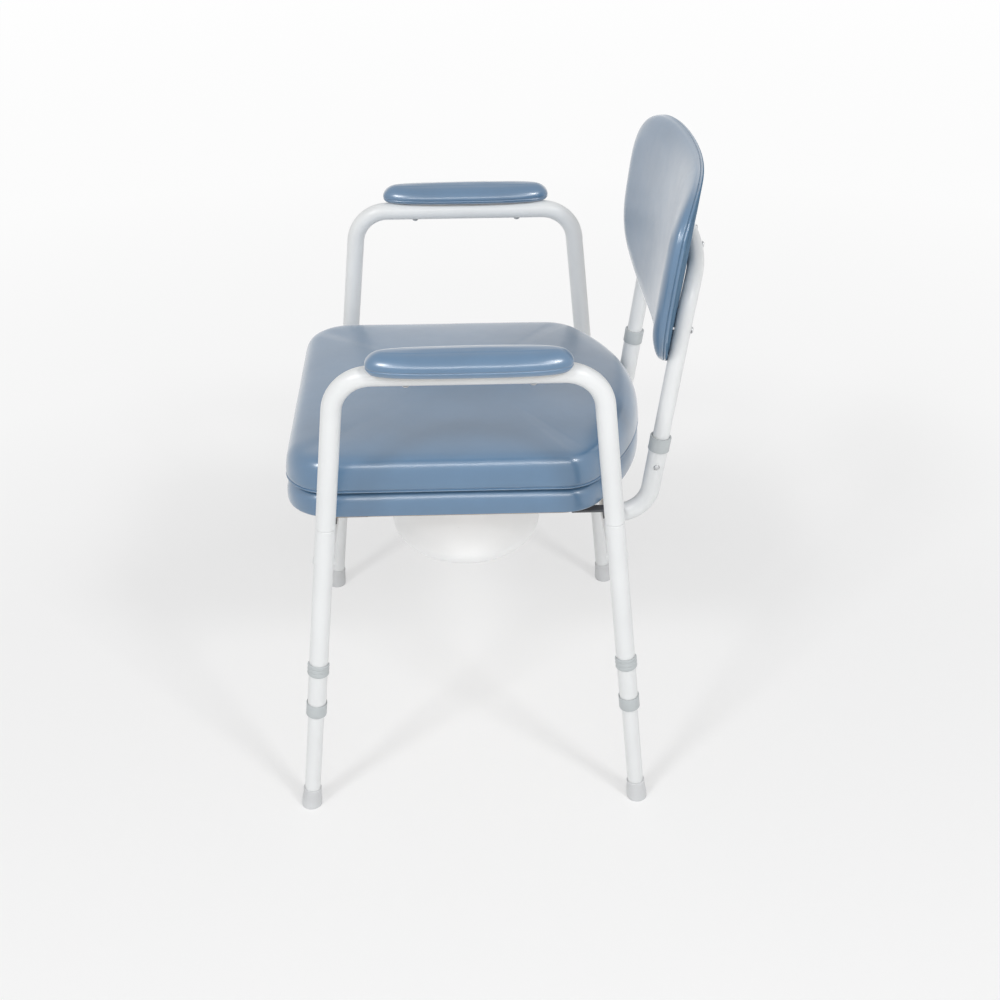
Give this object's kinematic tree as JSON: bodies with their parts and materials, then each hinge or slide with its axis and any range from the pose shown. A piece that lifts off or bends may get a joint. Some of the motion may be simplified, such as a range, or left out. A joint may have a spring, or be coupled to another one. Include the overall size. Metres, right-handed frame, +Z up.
{
  "type": "commode chair",
  "caption": "Padded commode chair on a white tubular frame with telescoping legs, padded arms, a plug-in back, a lift-off seat and lid, and a slide-out pan.",
  "frame": {"origin": "on the floor, under the middle of the whole chair", "axes": "+Z up, the sitter faces -Y, the sitter's left is +X"},
  "size_m": [0.626, 0.5621, 0.8599],
  "materials": {
    "white_coat": "satin powder coat",
    "grey_plastic": "moulded",
    "grey_rubber": "matt",
    "blue_vinyl": "semi-gloss vinyl",
    "plywood": "bare plywood",
    "black_plastic": "moulded",
    "pan_plastic": "smooth",
    "zinc_steel": "zinc plated"
  },
  "bodies": {
    "frame": {"arm_board_left": "plywood", "arm_board_right": "plywood", "arm_loop_left": "white_coat", "arm_loop_right": "white_coat", "arm_pad_left": "blue_vinyl", "arm_pad_right": "blue_vinyl", "arm_screw_front_left": "zinc_steel", "arm_screw_front_right": "zinc_steel", "arm_screw_rear_left": "zinc_steel", "arm_screw_rear_right": "zinc_steel", "back_collar_left": "grey_plastic", "back_collar_right": "grey_plastic", "back_socket_left": "white_coat", "back_socket_right": "white_coat", "front_cross_tube": "white_coat", "leg_collar_front_left": "grey_plastic", "leg_collar_front_right": "grey_plastic", "leg_collar_rear_left": "grey_plastic", "leg_collar_rear_right": "grey_plastic", "leg_tube_front_left": "white_coat", "leg_tube_front_right": "white_coat", "leg_tube_rear_left": "white_coat", "leg_tube_rear_right": "white_coat", "rear_cross_tube": "white_coat"},
    "leg_front_left": {"leg_extension_front_left": "white_coat", "ferrule_front_left": "grey_rubber"},
    "clip_front_left": {"leg_clip_front_left": "grey_plastic"},
    "leg_front_right": {"leg_extension_front_right": "white_coat", "ferrule_front_right": "grey_rubber"},
    "clip_front_right": {"leg_clip_front_right": "grey_plastic"},
    "leg_rear_left": {"leg_extension_rear_left": "white_coat", "ferrule_rear_left": "grey_rubber"},
    "clip_rear_left": {"leg_clip_rear_left": "grey_plastic"},
    "leg_rear_right": {"leg_extension_rear_right": "white_coat", "ferrule_rear_right": "grey_rubber"},
    "clip_rear_right": {"leg_clip_rear_right": "grey_plastic"},
    "backrest": {"back_tube": "white_coat", "back_board": "blue_vinyl", "back_cushion": "blue_vinyl", "back_screw_lower_left": "zinc_steel", "back_screw_lower_right": "zinc_steel", "back_screw_upper_left": "zinc_steel", "back_screw_upper_right": "zinc_steel", "snap_spring_left": "zinc_steel", "snap_spring_right": "zinc_steel"},
    "button_left": {"snap_button_left": "zinc_steel"},
    "button_right": {"snap_button_right": "zinc_steel"},
    "seat": {"seat_board": "plywood", "seat_cushion": "blue_vinyl", "pan_guide_front": "grey_plastic", "pan_guide_rear": "grey_plastic", "seat_saddle_front_left": "black_plastic", "seat_saddle_front_right": "black_plastic", "seat_saddle_rear_left": "black_plastic", "seat_saddle_rear_right": "black_plastic"},
    "lid": {"lid_board": "plywood", "lid_cushion": "blue_vinyl"},
    "pan": {"pan": "pan_plastic"}
  },
  "joints": [
    {"name": "leg_slide_front_left", "type": "slide", "parent": "frame", "child": "leg_front_left", "axis": [0, -0.1073, -0.9942], "range_m": [-0.075, 0.075]},
    {"name": "clip_pull_front_left", "type": "slide", "parent": "frame", "child": "clip_front_left", "axis": [1, 0, 0], "range_m": [0, 0.03]},
    {"name": "leg_slide_front_right", "type": "slide", "parent": "frame", "child": "leg_front_right", "axis": [0, -0.1073, -0.9942], "range_m": [-0.075, 0.075]},
    {"name": "clip_pull_front_right", "type": "slide", "parent": "frame", "child": "clip_front_right", "axis": [-1, 0, 0], "range_m": [0, 0.03]},
    {"name": "leg_slide_rear_left", "type": "slide", "parent": "frame", "child": "leg_rear_left", "axis": [0, 0.0991, -0.9951], "range_m": [-0.075, 0.075]},
    {"name": "clip_pull_rear_left", "type": "slide", "parent": "frame", "child": "clip_rear_left", "axis": [1, 0, 0], "range_m": [0, 0.03]},
    {"name": "leg_slide_rear_right", "type": "slide", "parent": "frame", "child": "leg_rear_right", "axis": [0, 0.0991, -0.9951], "range_m": [-0.075, 0.075]},
    {"name": "clip_pull_rear_right", "type": "slide", "parent": "frame", "child": "clip_rear_right", "axis": [-1, 0, 0], "range_m": [0, 0.03]},
    {"name": "back_lift", "type": "slide", "parent": "frame", "child": "backrest", "axis": [0, 0.1271, 0.9919], "range_m": [0, 0.36]},
    {"name": "button_press_left", "type": "slide", "parent": "backrest", "child": "button_left", "axis": [-1, 0, 0], "range_m": [0, 0.005], "stiffness_N_per_m": 2000, "springref_m": -0.001, "deforming": ["snap_spring_left"]},
    {"name": "button_press_right", "type": "slide", "parent": "backrest", "child": "button_right", "axis": [1, 0, 0], "range_m": [0, 0.005], "stiffness_N_per_m": 2000, "springref_m": -0.001, "deforming": ["snap_spring_right"]},
    {"name": "seat_lift", "type": "slide", "parent": "frame", "child": "seat", "axis": [0, -0.4226, 0.9063], "range_m": [0, 0.25]},
    {"name": "lid_lift", "type": "slide", "parent": "seat", "child": "lid", "axis": [0, -0.4226, 0.9063], "range_m": [0, 0.25]},
    {"name": "pan_pull", "type": "slide", "parent": "seat", "child": "pan", "axis": [1, 0, 0], "range_m": [0, 0.44]}
  ]
}
